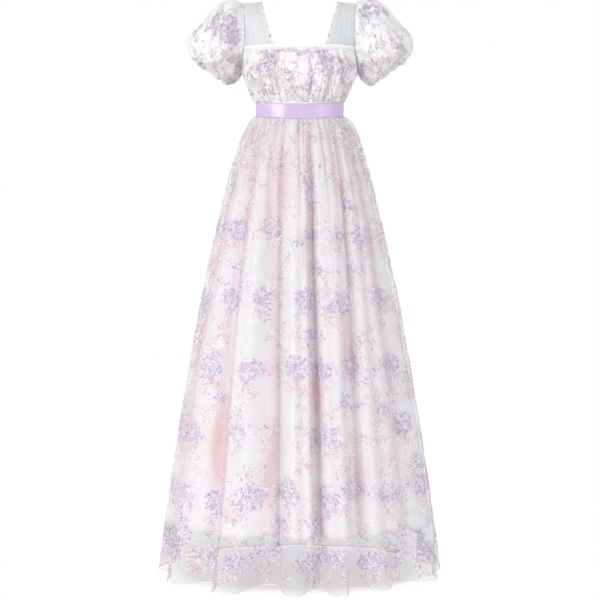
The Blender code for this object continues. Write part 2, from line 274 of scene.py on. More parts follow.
class Pleats:
    """Uneven gathers that run across an edge and die away from it."""

    def __init__(self, seed, count, last, height, reach, width):
        rng = np.random.default_rng(seed)
        centre = (np.arange(count) + rng.uniform(-0.32, 0.32, count) + 0.5) / count * last
        heights = height * rng.uniform(0.35, 1.25, count)
        reaches = reach * np.exp(rng.normal(-0.35, 0.75, count))
        widths = last / count * width * rng.uniform(0.7, 1.4, count)
        drift = rng.normal(0, 0.5, count) * last / count
        self.table = np.column_stack([centre, heights, reaches, widths, drift])

    def out(self, column, distance):
        """How far the cloth stands out at each column, at a distance from the edge."""
        total = np.zeros(np.broadcast(column, distance).shape)
        away = np.maximum(distance, 0)
        for centre, height, reach, width, drift in self.table:
            middle = centre + drift * np.minimum(away / 300, 1)
            spread = width * (1 + 0.35 * np.minimum(away / reach, 2))
            ridge = np.exp(-(((column - middle) / spread) ** 2))
            total += height * ridge * np.exp(-((away / reach) ** 1.4))
        return total * (1 - np.exp(-away / 4))


# The main creases of the skirt's front, listed one by one: column among the folds, depth, the distance
# over which they die away, width in columns, and how far they drift to the side.
MAIN_CREASES = np.array([
    (1.4, 6, 300, 0.10, 0.0),
    (2.6, 7, 300, 0.09, -0.1),
    (3.4, 8, 520, 0.06, 0.0),
    (4.3, 7, 210, 0.08, -0.05),
    (4.8, 7, 330, 0.07, 0.1),
    (5.4, 7, 800, 0.045, 0.0),
    (6.3, 8, 230, 0.07, 0.1),
    (6.8, 6, 170, 0.06, 0.0),
    (7.4, 3, 1100, 0.03, 0.0),
    (8.3, 8, 300, 0.07, 0.05),
    (8.8, 8, 190, 0.07, 0.1),
    (9.4, 7, 700, 0.05, 0.0),
    (10.4, 8, 300, 0.09, 0.1),
    (11.4, 8, 460, 0.08, 0.0),
    (12.6, 7, 330, 0.10, -0.1),
])


class Creases:
    """Narrow sharp valleys that run from an edge, uneven in place, depth and length."""

    def __init__(self, seed, count, last, depth, reach, width):
        rng = np.random.default_rng(seed)
        centre = (np.arange(count) + rng.uniform(-0.36, 0.36, count) + 0.5) / count * last
        depths = depth * rng.uniform(0.3, 1.2, count)
        reaches = reach * rng.uniform(0.45, 1.5, count)
        widths = width * rng.uniform(0.7, 1.5, count)
        drift = rng.normal(0, 0.35, count) * last / count
        self.table = np.column_stack([centre, depths, reaches, widths, drift])

    def add(self, table):
        """Adds creases given in a table."""
        self.table = np.vstack([self.table, table])

    def out(self, column, distance):
        """How far the cloth sinks in (negative) at each column, at a distance from the edge."""
        total = np.zeros(np.broadcast(column, distance).shape)
        away = np.maximum(distance, 0)
        for centre, depth, reach, width, drift in self.table:
            share = away / reach
            middle = centre + drift * np.minimum(share, 1)
            spread = width * (1 + 0.5 * np.minimum(share, 1.5))
            valley = np.exp(-np.sqrt((column - middle) ** 2 + (0.12 * spread) ** 2) / spread)
            total -= depth * valley * np.exp(-(share**2))
        return total * (1 - np.exp(-away / 5))


def ripples(seed, column, waves, size):
    """Soft uneven undulation along the columns."""
    rng = np.random.default_rng(seed)
    total = 0
    for i in range(waves):
        rate = rng.uniform(0.35, 1.5)
        total = total + np.sin(TAU * rate * column + rng.uniform(0, TAU)) * size / (1 + rate)
    return total


def back_folds():
    """The back's folds, from the +X side seam round to the -X one."""
    sides = 2 * BACK_FOLD_COUNT
    folds = [(90, 90, 0)]
    for i in range(1, sides):
        turn = 90 + 180 * i / sides
        uneven = BACK_FOLD_UNEVEN * math.sin(2.3 * i)
        folds.append((turn, turn + 2 * math.sin(1.7 * i), (BACK_FOLD_OUT + uneven) * (-1) ** i))
    folds.append((270, 270, 0))
    return np.array(folds, dtype=float)


def fold_out(folds, column, down):
    """How far out the folds stand at each column; crests have even numbers and valleys odd ones.

    A crest falls away slowly on its right and steeply on its left, but at the hem it is a tube.
    """
    first = np.clip((column // 2).astype(int) * 2, 0, len(folds) - 3)
    across = column - first
    before, valley, after = folds[first, 2], folds[first + 1, 2], folds[first + 2, 2]
    lowest = 1 + VALLEY_LEAN
    fall = 1 - np.clip(across / lowest, 0, 1) ** FALL_POWER
    climb = 1 - (1 - np.clip((across - lowest) / (2 - lowest), 0, 1)) ** CLIMB_POWER
    low = valley * VALLEY_DEPTH
    leaning = np.where(across < lowest, low + (before - low) * fall, low + (after - low) * climb)
    side = np.where(across < 1, before, after)
    rolled = valley + (side - valley) * ease(0.5 + (np.abs(across - 1) - 0.5) * TUBE_STEEPNESS)
    hem = ease((down - TUBE_START) / (1 - TUBE_START))
    return leaning * (1 - hem) + rolled * hem


def skirt_surface(folds, column, z, lining, gathers, seed):
    """Points of a skirt panel; column counts the sides of folds from its first seam."""
    section = smooth_read(SKIRT, z)
    down = np.clip((RIBBON_BOTTOM - z) / (RIBBON_BOTTOM - HEM), 0, 1)
    nodes = np.column_stack([np.arange(len(folds)), folds[:, :2]])
    waist_turn, hem_turn = smooth_read(nodes, column)
    turn = hem_turn + (waist_turn - hem_turn) * (1 - down) ** 2
    fold_share, inset = smooth_read(GROWTH, RIBBON_BOTTOM - z)
    out = fold_out(folds, column, down) * fold_share
    from_seam = np.minimum(column, len(folds) - 1 - column)
    at_seam = np.minimum(1, from_seam * 2)
    soft = ripples(seed, column, 5, RIPPLE_SIZE) * np.minimum(down * 2.2, 1)
    out = out + soft * ease(from_seam / RIPPLE_FADE)
    out = out + sum(folded.out(column, RIBBON_BOTTOM - z) for folded in gathers) * at_seam
    if lining:
        out = out * (0.82 - 0.1 * np.tanh(out / 12)) - inset
        drop = LINING_DROP_SHARE * out * down**4
    else:
        drop = HEM_DROP_SHARE * out * down
    points = oval(z, *section, np.radians(turn), out)
    points[..., 2] -= drop
    return points


def armhole(turn, side=1):
    """Points of the armhole's edge; turn is 0 at the shoulder, 90 degrees at the front and 180 below."""
    up, forward = np.cos(turn), np.sin(turn)
    depth = np.where(forward > 0, ARMHOLE_FRONT, ARMHOLE_BACK)
    x = ARMHOLE_TOP_X + (ARMHOLE_BOTTOM_X - ARMHOLE_TOP_X) * (1 - up) / 2
    x = x - ARMHOLE_HOLLOW * forward**2
    return np.stack([side * x, -depth * forward, ARMHOLE_HALF_HEIGHT * (up - 1)], -1)


def armhole_turn(z, front):
    """Where the armhole's front or back edge passes height z."""
    turn = np.arccos(np.clip(1 + z / ARMHOLE_HALF_HEIGHT, -1, 1))
    return turn if front else -turn


def bodice_surface(share, z, front, out=0.0):
    """Points of the bodice; share runs from -1 at one side or armhole to 1 at the other."""
    share, z = np.broadcast_arrays(np.asarray(share, dtype=float), np.asarray(z, dtype=float))
    half_width, front_depth, back_depth, square, dip = smooth_read(BODICE, z)
    depth = front_depth if front else back_depth
    edge = armhole(armhole_turn(z, front))
    last = np.arccos(np.clip(np.abs(edge[..., 1]) / depth, 0, 1) ** (square / 2))
    last = np.where(z > UNDERARM, last, np.pi / 2)
    reach = edge[..., 0] / np.sin(last) ** (2 / square)
    half_width = np.where(z > UNDERARM, reach, half_width)
    turn = share * last if front else np.pi - share * last
    return oval(z, half_width, front_depth, back_depth, square, dip, turn, out)


def neck_share(neck, front):
    """How far round the bodice's top edge, as a share, the strap's inner edge meets it."""
    shares = np.linspace(0, 1, 801)
    return float(np.interp(STRAP_LOW_INNER_X, bodice_surface(shares, neck, front)[:, 0], shares))


def strap_surface(turn, across, side):
    """Points of a strap; turn is 0 at the shoulder, and across runs from the inner edge to the armhole."""
    turn, across = np.broadcast_arrays(turn, across)
    points = np.zeros(turn.shape + (3,))
    for front in (True, False):
        here = (turn > 0) == front
        neck = FRONT_NECK if front else BACK_NECK
        share = neck_share(neck, front)
        corner = bodice_surface(share, neck, front)
        end = bodice_surface(1, neck, front)
        outer = armhole(turn[here])
        height = (outer[:, 2] - neck) / -neck
        inner_z = outer[:, 2] + STRAP_TOP_RISE * np.maximum(0, height)
        up = np.clip((inner_z - neck) / (STRAP_TOP_RISE - neck), 0, 1)
        depth = abs(corner[1]) * (1 - up**STRAP_CURVE_HEIGHT) ** (1 / STRAP_CURVE_DEPTH)
        x = STRAP_LOW_INNER_X + (STRAP_TOP_INNER_X - STRAP_LOW_INNER_X) * np.maximum(0, height)
        inner = np.stack([x, -depth if front else depth, inner_z], -1)
        way = across[here][:, None]
        point = inner + (outer - inner) * way
        bow = bodice_surface(share + (1 - share) * way[:, 0], neck, front) - (corner + (end - corner) * way)
        bow[:, 2] = 0
        points[here] = point + bow * np.maximum(0, 1 - height)[:, None]
    points[..., 0] *= side
    return points


class Surface:
    """A grid of points, row by row downwards and to the right as seen from outside."""

    def __init__(self, points, closed=False):
        if closed:
            points = np.concatenate([points, points[:, :1]], axis=1)
        self.points, self.closed = points, closed
        down = np.gradient(points, axis=0)
        if closed:
            wide = np.concatenate([points[:, -2:-1], points, points[:, 1:2]], axis=1)
            right = (wide[:, 2:] - wide[:, :-2]) / 2
        else:
            right = np.gradient(points, axis=1)
        normal = np.cross(down, right)
        self.normals = normal / np.maximum(np.linalg.norm(normal, axis=-1, keepdims=True), 1e-9)
        self.down_step = np.maximum(np.linalg.norm(down, axis=-1), 0.05)
        self.right_step = np.maximum(np.linalg.norm(right, axis=-1), 0.05)
        along = np.linalg.norm(np.diff(points, axis=1), axis=-1)
        self.along = np.concatenate([np.zeros((len(points), 1)), np.cumsum(along, axis=1)], axis=1)
        fall = np.linalg.norm(np.diff(points, axis=0), axis=-1)
        self.fall = np.concatenate([np.zeros((1, points.shape[1])), np.cumsum(fall, axis=0)])

    def read(self, values, row, column):
        """Values of the grid between its rows and columns."""
        rows, columns = self.points.shape[:2]
        row = np.clip(row, 0, rows - 1.001)
        column = np.mod(column, columns - 1) if self.closed else np.clip(column, 0, columns - 1.001)
        i, j = row.astype(int), column.astype(int)
        s, t = row - i, column - j
        if values.ndim == 3:
            s, t = s[..., None], t[..., None]
        top = values[i, j] * (1 - t) + values[i, j + 1] * t
        low = values[i + 1, j] * (1 - t) + values[i + 1, j + 1] * t
        return top * (1 - s) + low * s

    def raised(self, row, column, lift):
        """Points that stand lift millimetres off the cloth."""
        normal = self.read(self.normals, row, column)
        return self.read(self.points, row, column) + normal * np.asarray(lift)[..., None]

    def place(self, row, column, right, up):
        """The row and column that lie some millimetres to the right of a place and above it."""
        rows, columns = self.points.shape[:2]
        found_columns = np.empty(len(right))
        middle = int(np.clip(column, 0, columns - 1))
        falls = np.interp(row, np.arange(rows), self.fall[:, middle]) - up
        found_rows = np.interp(falls, self.fall[:, middle], np.arange(rows), left=-9, right=rows + 9)
        ticks = np.arange(columns)
        for k, found in enumerate(found_rows):
            along = self.along[int(np.clip(found, 0, rows - 1))]
            goal = np.interp(column, ticks, along) + right[k]
            if self.closed:
                found_columns[k] = np.interp(goal % along[-1], along, ticks)
            else:
                found_columns[k] = np.interp(goal, along, ticks, left=-9, right=columns + 9)
        return found_rows, found_columns


def add_mesh(name, points, faces, uvs=None, smooth=True):
    """A mesh object from points in millimetres, with an optional UV pair for each point."""
    mesh = bpy.data.meshes.new(name)
    faces = np.asarray(faces)
    mesh.vertices.add(len(points))
    mesh.vertices.foreach_set("co", np.asarray(points, dtype=np.float32).ravel() * MM)
    size = faces.shape[1]
    mesh.loops.add(faces.size)
    mesh.loops.foreach_set("vertex_index", faces.ravel().astype(np.int32))
    mesh.polygons.add(len(faces))
    mesh.polygons.foreach_set("loop_start", np.arange(0, faces.size, size, dtype=np.int32))
    mesh.polygons.foreach_set("use_smooth", np.full(len(faces), smooth))
    mesh.update(calc_edges=True)
    if uvs is not None:
        layer = mesh.uv_layers.new(name="cloth")
        layer.data.foreach_set("uv", np.asarray(uvs, dtype=np.float32)[faces.ravel()].ravel())
    mesh.validate()
    piece = bpy.data.objects.new(name, mesh)
    bpy.context.scene.collection.objects.link(piece)
    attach(piece, "root")
    return piece


def add_colours(piece, name, colours):
    """Gives a mesh a colour layer with a linear colour for each point."""
    layer = piece.data.color_attributes.new(name, "FLOAT_COLOR", "POINT")
    layer.data.foreach_set("color", np.insert(colours, 3, 1, axis=1).astype(np.float32).ravel())


def add_layer(piece, name, values):
    """Gives a mesh a grey colour layer with a value from 0 to 1 for each point."""
    add_colours(piece, name, np.repeat(np.clip(values, 0, 1).reshape(-1, 1), 3, axis=1))


def grid_faces(rows, columns, closed=False):
    """The quads of a grid, facing out where its rows run down and its columns to the right."""
    i, j = np.meshgrid(np.arange(rows - 1), np.arange(columns if closed else columns - 1), indexing="ij")
    k = (j + 1) % columns
    above, below = i * columns, (i + 1) * columns
    return np.stack([above + j, below + j, below + k, above + k], -1).reshape(-1, 4)


def cloth_piece(name, surface, material, keep=None):
    """A surface as a mesh, measured in metres along its threads for its weave."""
    points = surface.points
    rows, columns = points.shape[:2]
    middle = surface.along[:, columns // 2][:, None]
    uvs = np.stack([surface.along - middle, -surface.fall], -1) * MM
    faces = grid_faces(rows, columns)
    if keep is not None:
        faces = faces[keep.ravel()]
    points, uvs = points.reshape(-1, 3), uvs.reshape(-1, 2)
    if keep is not None:
        used = np.unique(faces)
        renumber = np.full(len(points), -1)
        renumber[used] = np.arange(len(used))
        points, uvs, faces = points[used], uvs[used], renumber[faces]
    piece = add_mesh(name, points, faces, uvs)
    piece.data.materials.append(material)
    if surface.closed:
        weld = piece.modifiers.new("weld", "WELD")
        weld.merge_threshold = 0.00001
    return piece


def thicken(piece, wall, inner=None):
    """Gives a cloth piece its thickness in millimetres, with another material inside if there is one."""
    solid = piece.modifiers.new("wall", "SOLIDIFY")
    solid.thickness = wall * MM
    solid.offset = -1
    if inner is not None:
        piece.data.materials.append(inner)
        solid.material_offset = 1


def unit(vectors):
    """Vectors, one to a row, each scaled to a length of one."""
    return vectors / np.maximum(np.linalg.norm(vectors, axis=1, keepdims=True), 1e-9)


def tube(name, path, radius, material):
    """A round thread along a path of points, in millimetres."""
    ahead = unit(np.gradient(path, axis=0))
    aside = unit(np.cross(ahead, (0.02, 0.01, 1)))
    above = np.cross(aside, ahead)
    turns = np.arange(THREAD_SIDES) / THREAD_SIDES * TAU
    ring = aside[:, None] * np.cos(turns)[None, :, None] + above[:, None] * np.sin(turns)[None, :, None]
    points = path[:, None] + ring * radius
    faces = grid_faces(len(path), THREAD_SIDES, closed=True)
    piece = add_mesh(name, points.reshape(-1, 3), faces)
    piece.data.materials.append(material)
    return piece


def new_material(name):
    """A node material, with its tree and its Principled shader."""
    made = bpy.data.materials.new(name)
    made.use_nodes = True
    tree = made.node_tree
    return made, tree, tree.nodes["Principled BSDF"]


def set_inputs(node, **values):
    """Sets inputs of a node by their names, with an underscore for each space."""
    for key, value in values.items():
        node.inputs[key.replace("_", " ")].default_value = value


def add_node(tree, kind, **values):
    """A node with some of its properties and inputs set."""
    node = tree.nodes.new(kind)
    for key, value in values.items():
        if hasattr(node, key):
            setattr(node, key, value)
        else:
            set_inputs(node, **{key: value})
    return node


def mottle(tree, shader, first, second, scale):
    """A base colour that drifts softly between two."""
    place = add_node(tree, "ShaderNodeTexCoord")
    noise = add_node(tree, "ShaderNodeTexNoise", Scale=scale, Detail=3.0)
    ramp = add_node(tree, "ShaderNodeValToRGB")
    ramp.color_ramp.elements[0].position = 0.35
    ramp.color_ramp.elements[1].position = 0.65
    ramp.color_ramp.elements[0].color = (*first, 1)
    ramp.color_ramp.elements[1].color = (*second, 1)
    tree.links.new(place.outputs["Object"], noise.inputs["Vector"])
    tree.links.new(noise.outputs["Fac"], ramp.inputs["Fac"])
    tree.links.new(ramp.outputs["Color"], shader.inputs["Base Color"])


def weave(tree, shader, across, down, depth, strength):
    """A bump of threads; across and down are the threads' spacings in millimetres."""
    uv = add_node(tree, "ShaderNodeUVMap", uv_map="cloth")
    split = add_node(tree, "ShaderNodeSeparateXYZ")
    tree.links.new(uv.outputs["UV"], split.inputs["Vector"])
    heights = []
    for axis, spacing in (("X", across), ("Y", down)):
        scaled = add_node(tree, "ShaderNodeMath", operation="MULTIPLY")
        scaled.inputs[1].default_value = TAU / (spacing * MM)
        wave = add_node(tree, "ShaderNodeMath", operation="SINE")
        tree.links.new(split.outputs[axis], scaled.inputs[0])
        tree.links.new(scaled.outputs[0], wave.inputs[0])
        heights.append(wave)
    joined = add_node(tree, "ShaderNodeMath", operation="MAXIMUM")
    tree.links.new(heights[0].outputs[0], joined.inputs[0])
    tree.links.new(heights[1].outputs[0], joined.inputs[1])
    bump = add_node(tree, "ShaderNodeBump", Strength=strength, Distance=depth * MM)
    tree.links.new(joined.outputs[0], bump.inputs["Height"])
    tree.links.new(bump.outputs["Normal"], shader.inputs["Normal"])


def let_light_through(tree, shader, share):
    """Lets thin cloth pass some of the light that falls on its other side."""
    through = add_node(tree, "ShaderNodeBsdfTranslucent")
    mix = add_node(tree, "ShaderNodeMixShader")
    mix.inputs["Fac"].default_value = share
    tree.links.new(shader.inputs["Base Color"].links[0].from_socket, through.inputs["Color"])
    tree.links.new(shader.outputs[0], mix.inputs[1])
    tree.links.new(through.outputs[0], mix.inputs[2])
    tree.links.new(mix.outputs[0], tree.nodes["Material Output"].inputs["Surface"])


def blend_in(tree, shader, layer, colour):
    """Blends a second base colour in where a colour layer of the mesh says so."""
    share = add_node(tree, "ShaderNodeVertexColor", layer_name=layer)
    blend = add_node(tree, "ShaderNodeMix", data_type="RGBA")
    blend.inputs["B"].default_value = (*colour, 1)
    plain = shader.inputs["Base Color"].links[0].from_socket
    tree.links.new(share.outputs["Color"], blend.inputs["Factor"])
    tree.links.new(plain, blend.inputs["A"])
    tree.links.new(blend.outputs["Result"], shader.inputs["Base Color"])


def cloth_material(name, first, second, drift, threads, **inputs):
    """A cloth that drifts between two sRGB colours, with the weave of its threads, if it has one."""
    made, tree, shader = new_material(name)
    mottle(tree, shader, linear(*first), linear(*second), drift)
    if threads is not None:
        weave(tree, shader, *threads)
    set_inputs(shader, **inputs)
    return made, tree, shader


def net_material():
    """Sheer white net, with painted shade: greyer where no lining lies under it, for the shaded inside of
    the skirt seen through it.
    """
    made, tree, shader = cloth_material(
        "sheer_net", (226, 225, 229), (234, 233, 236), 30, (1.6, 1.6, 0.25, 0.5),
        Roughness=0.75, Specular_IOR_Level=0.3, Alpha=0.33,
    )
    # Painted shade: a grey blended in below the lining's hem, for the shaded inside of the skirt.
    blend_in(tree, shader, "unlined_painted_shade", linear(190, 191, 196))
    return made


def backed_net_material():
    """White net that lies on a white backing, as on the bodice and the sleeves."""
    return cloth_material(
        "backed_net", (231, 231, 233), (240, 240, 242), 40, (1.6, 1.6, 0.3, 0.6),
        Roughness=0.65, Specular_IOR_Level=0.3, Sheen_Weight=0.15,
    )[0]


def lining_material():
    """Smooth white lining with a soft sheen, with pink painted shade on the right sides of its folds and in
    its creases, and pink painted reflection of the embroidery in its valleys.
    """
    made, tree, shader = cloth_material(
        "white_satin_lining", (250, 250, 251), (253, 251, 251), 9, (0.5, 0.35, 0.05, 0.25),
        Roughness=0.42, Specular_IOR_Level=0.45, Sheen_Weight=0.2,
    )
    # Painted shade and painted reflection in pink, blended in where the mesh's layer says.
    blend_in(tree, shader, "painted_shade_and_reflection", linear(241, 206, 211))
    let_light_through(tree, shader, 0.22)
    return made


def strap_material():
    """Plain white cloth, a little greyer than the lace on it."""
    return cloth_material(
        "plain_strap_cloth", (206, 209, 211), (213, 216, 218), 25, (0.6, 0.6, 0.1, 0.4),
        Roughness=0.6, Specular_IOR_Level=0.3,
    )[0]


def lace_material(name, first, second):
    """Matt cotton lace."""
    return cloth_material(name, first, second, 300, (0.7, 0.9, 0.2, 0.8), Roughness=0.8)[0]


def ribbon_material():
    """Lilac satin, with a sharp sheen across its length."""
    return cloth_material(
        "lilac_ribbon_satin", (196, 175, 208), (206, 186, 217), 20, (0.3, 0.8, 0.05, 0.3),
        Roughness=0.23, Specular_IOR_Level=0.65,
    )[0]


def thread_material():
    """Embroidery thread in the colour that each stitch carries, with the ridges of satin stitch."""
    made, tree, shader = new_material("embroidery_thread")
    colour = add_node(tree, "ShaderNodeVertexColor", layer_name="thread")
    tree.links.new(colour.outputs["Color"], shader.inputs["Base Color"])
    weave(tree, shader, 0.6, 90, 0.2, 0.6)
    set_inputs(shader, Roughness=0.36, Specular_IOR_Level=0.6, Sheen_Weight=0.2)
    let_light_through(tree, shader, 0.3)
    return made


def edging_material():
    """The pale pink thread that binds the net's hem."""
    return cloth_material("edging_thread", (240, 218, 226), (246, 232, 238), 200, None, Roughness=0.5)[0]


def pick_thread(rng, threads):
    """One of a list of thread colours, a little lighter or darker, as linear RGB."""
    chances = np.array([chance for _, chance in threads])
    colour = threads[rng.choice(len(threads), p=chances / chances.sum())][0]
    return np.clip(np.array(linear(*colour)) * rng.uniform(0.9, 1.08), 0, 0.95)


def leaf(x, y, away, angle, length, breadth, colour):
    """One stitched leaf or petal at a distance from a point, in millimetres about its motif's centre."""
    return (x + away * math.cos(angle), y + away * math.sin(angle), angle, length, breadth, *colour)


def floret(rng, x, y, size):
    """Four or five petals round a point."""
    stitches = []
    petals = rng.integers(4, 6)
    start = rng.uniform(0, TAU)
    for k in range(petals):
        angle = start + TAU * k / petals + rng.normal(0, 0.2)
        away = size * rng.uniform(0.4, 0.55)
        colour = pick_thread(rng, LILAC_THREADS)
        length, breadth = size * rng.uniform(0.85, 1.25), size * rng.uniform(0.3, 0.44)
        stitches.append(leaf(x, y, away, angle, length, breadth, colour))
    return stitches


def truss(rng, width, height, size):
    """A ragged cluster of lilac florets."""
    stitches = []
    spacing = size * 1.28
    for i, y in enumerate(np.arange(-height / 2, height / 2 + 1, spacing * 0.87)):
        for x in np.arange(-width / 2, width / 2 + 1, spacing):
            px = x + (i % 2) * spacing / 2 + rng.normal(0, spacing * 0.2)
            py = y + rng.normal(0, spacing * 0.2)
            reach = (2 * px / width) ** 2 + (2 * py / height) ** 2
            if reach < rng.uniform(0.65, 1.15):
                stitches += floret(rng, px, py, size * rng.uniform(0.8, 1.1))
    return stitches


def spray(rng, x, y, angle, length, threads, leaf_length=12.0):
    """A curving stem with leaves on both sides and short twigs."""
    stitches = []
    bend = rng.normal(0, 1.3)
    step = 7.0
    count = max(3, int(length / step))
    for k in range(count):
        share = k / count
        angle += bend * step / length
        x += step * math.cos(angle)
        y += step * math.sin(angle)
        stitches.append(leaf(x, y, 0, angle, step * 1.15, 1.3, pick_thread(rng, STEM_THREADS)))
        side = 1 if k % 2 else -1
        size = leaf_length * (1 - 0.4 * share) * rng.uniform(0.8, 1.15)
        lean = angle + side * rng.uniform(0.5, 1.0)
        stitches.append(leaf(x, y, size * 0.55, lean, size, size * 0.36, pick_thread(rng, threads)))
        if k % 3 == 1 and share < 0.8:
            twig = angle - side * rng.uniform(0.7, 1.1)
            tx, ty = x, y
            for m in range(rng.integers(2, 5)):
                tx += 6.5 * math.cos(twig)
                ty += 6.5 * math.sin(twig)
                tilt = twig + (0.8 if m % 2 else -0.8)
                stitches.append(leaf(tx, ty, 3.5, tilt, 9.0, 3.4, pick_thread(rng, threads)))
    stitches.append(leaf(x, y, 5, angle, 11, 4.2, pick_thread(rng, threads)))
    return stitches


def fan(rng, x, y, angle, size):
    """Long pink leaves that spread from one point."""
    stitches = []
    for k in range(7):
        lean = angle + (k - 3) * 0.42 + rng.normal(0, 0.06)
        length = size * rng.uniform(0.75, 1.15)
        away = size * 0.35 + length / 2
        stitches.append(leaf(x, y, away, lean, length, length * 0.24, pick_thread(rng, PINK_THREADS)))
    return stitches


def bouquet(rng, width, height, sprays, reach, size=8.5):
    """A lilac truss with pink sprays that grow out of it."""
    stitches = truss(rng, width, height, size)
    for direction in sprays:
        angle = math.radians(direction + rng.normal(0, 14))
        x, y = 0.3 * width * math.cos(angle), 0.3 * height * math.sin(angle)
        threads = PINK_THREADS if rng.uniform() < 0.85 else LILAC_THREADS
        stitches += spray(rng, x, y, angle, reach * rng.uniform(0.75, 1.2), threads)
    if width > 40:
        stitches += fan(rng, rng.uniform(-0.3, 0.3) * width, -0.45 * height, -1.57 + rng.normal(0, 0.3), 17)
    return stitches


def embroider(name, surface, motifs, material):
    """Raised stitches on a surface; each motif is a row, a column and its stitches."""
    rows, columns = surface.points.shape[:2]
    # Each leaf has two tips, and a left edge, a ridge and a right edge at two places between them.
    along = np.array([-0.5, -0.2, -0.2, -0.2, 0.22, 0.22, 0.22, 0.5])
    aside = np.array([0, -0.46, 0, 0.46, -0.5, 0, 0.5, 0])
    ridge = np.array([0.1, 0.1, 1.0, 0.1, 0.1, 1.0, 0.1, 0.1])
    triangles = np.array([
        (0, 2, 1),
        (0, 3, 2),
        (1, 2, 5),
        (1, 5, 4),
        (2, 3, 6),
        (2, 6, 5),
        (4, 5, 7),
        (5, 6, 7),
    ])
    rng = np.random.default_rng(len(name))
    all_points, all_uvs, all_colours = [], [], []
    for row, column, stitches in motifs:
        data = np.array(stitches)
        x, y, angle, length, breadth = data[:, :5].T
        r, c = surface.place(row, column, x, y)
        per_down = 1 / surface.read(surface.down_step, r, c)
        per_right = 1 / surface.read(surface.right_step, r, c)
        ahead, left = along[None] * length[:, None], aside[None] * breadth[:, None]
        dx = ahead * np.cos(angle)[:, None] - left * np.sin(angle)[:, None]
        dy = ahead * np.sin(angle)[:, None] + left * np.cos(angle)[:, None]
        vr = r[:, None] - dy * per_down[:, None]
        vc = c[:, None] + dx * per_right[:, None]
        inside = (vr.min(1) >= 0) & (vr.max(1) <= rows - 1)
        height = surface.read(surface.points, r, c)[:, 2]
        inside &= (height > BARE_TOP) | (height < BARE_BOTTOM)
        if not surface.closed:
            inside &= (vc.min(1) >= 0) & (vc.max(1) <= columns - 1)
        base = rng.uniform(0.35, 1.0, len(data))[:, None]
        tilt = rng.normal(0, 0.25, len(data))[:, None] * aside[None] * 2
        lift = base + ridge[None] * np.minimum(0.9, breadth[:, None] * 0.16) + np.maximum(tilt, -0.25)
        points = surface.raised(vr, vc, lift)
        all_points.append(points[inside])
        all_uvs.append(np.stack([ahead, left], -1)[inside] * MM)
        colour = np.repeat(data[:, None, 5:8], 8, axis=1)
        # Painted highlight and painted shade: each leaf's ridge is lightened towards white and its edges
        # are darkened.
        colour = np.where(ridge[None, :, None] == 1, colour + (1 - colour) * 0.45, colour * 0.8)
        all_colours.append(colour[inside])
    points, uvs, colours = (np.concatenate(part) for part in (all_points, all_uvs, all_colours))
    faces = (triangles[None] + np.arange(len(points))[:, None, None] * 8).reshape(-1, 3)
    piece = add_mesh(name, points.reshape(-1, 3), faces, uvs.reshape(-1, 2))
    add_colours(piece, "thread", colours.reshape(-1, 3))
    piece.data.materials.append(material)
    return piece


# Bands of embroidery on the skirt: height, spacing, width and height of a truss, reach of its sprays,
# and the share of the motifs that are lilac.
BANDS = [
    (-318, 60, 20, 24, 30, 0.2),
    (-352, 70, 24, 30, 36, 0.25),
    (-392, 80, 28, 34, 42, 0.25),
    (-440, 95, 30, 34, 45, 0.25),
    (-500, 110, 42, 42, 50, 0.5),
    (-573, 104, 64, 52, 55, 1.0),
    (-650, 120, 40, 36, 50, 0.2),
    (-740, 112, 76, 60, 60, 1.0),
    (-820, 150, 42, 36, 55, 0.3),
    (-908, 122, 66, 72, 62, 0.95),
    (-985, 150, 42, 40, 55, 0.3),
    (-1060, 122, 58, 58, 62, 0.9),
    (-1130, 150, 44, 40, 55, 0.4),
    (-1198, 116, 78, 62, 62, 1.0),
    (-1265, 150, 48, 40, 52, 0.35),
    (-1338, 108, 84, 44, 46, 0.9),
    (-1380, 120, 40, 20, 34, 0.2),
]


def skirt_motifs(seed, surface, heights):
    """Bouquets in bands round a skirt panel, with pink sprays and fans of leaves between them."""
    rng = np.random.default_rng(seed)
    motifs = []
    ticks = np.arange(surface.points.shape[1])
    for number, (height, spacing, width, tall, reach, lilac) in enumerate(BANDS):
        row = float(np.interp(-height, -heights, np.arange(len(heights))))
        along = surface.along[int(row)]
        count = max(3, round(along[-1] / spacing))
        for k in range(count):
            goal = (k + 0.5 + rng.uniform(-0.2, 0.2) + 0.3 * (number % 2 - 0.5)) / count * along[-1]
            column = float(np.interp(goal, along, ticks))
            lift = rng.normal(0, 9) / surface.down_step[int(row), int(column)]
            if rng.uniform() < lilac:
                sprays = [-90 + rng.normal(0, 25), rng.choice([15, 165]), rng.choice([60, 120, 200, -20])]
                wide, high = (width, tall) * rng.uniform(0.8, 1.2, 2)
                motifs.append((row + lift, column, bouquet(rng, wide, high, sprays, reach)))
            else:
                stitches = fan(rng, 0, 0, rng.uniform(0, TAU), 17)
                for direction in rng.uniform(0, 360, 2):
                    threads = PINK_THREADS if rng.uniform() < 0.6 else PALE_THREADS
                    stitches += spray(rng, 0, 0, math.radians(direction), reach, threads)
                motifs.append((row + lift, column, stitches))
    # Sprays climb the outer folds. They are embroidery, and their darker thread is painted shade for the
    # skirt's sides.
    for _ in range(46):
        row = float(np.interp(rng.uniform(440, 1230), -heights, np.arange(len(heights))))
        outer = rng.uniform(0.02, 0.15) * len(ticks)
        column = outer if rng.uniform() < 0.5 else len(ticks) - outer
        motifs.append((row, column, spray(rng, 0, 0, 1.57 + rng.normal(0, 0.3), 60, PAINTED_SHADE_THREADS, 8)))
    return motifs


# The lace's holes: the radius of each ring of eyelets and of an eyelet, and the rows, the columns and
# the radius of the holes in the open net.
EYELET_RING = 1.75
EYELET_RADIUS = 0.52
NET_ROW = 1.7
NET_COLUMN = 2.0
NET_HOLE = 0.55


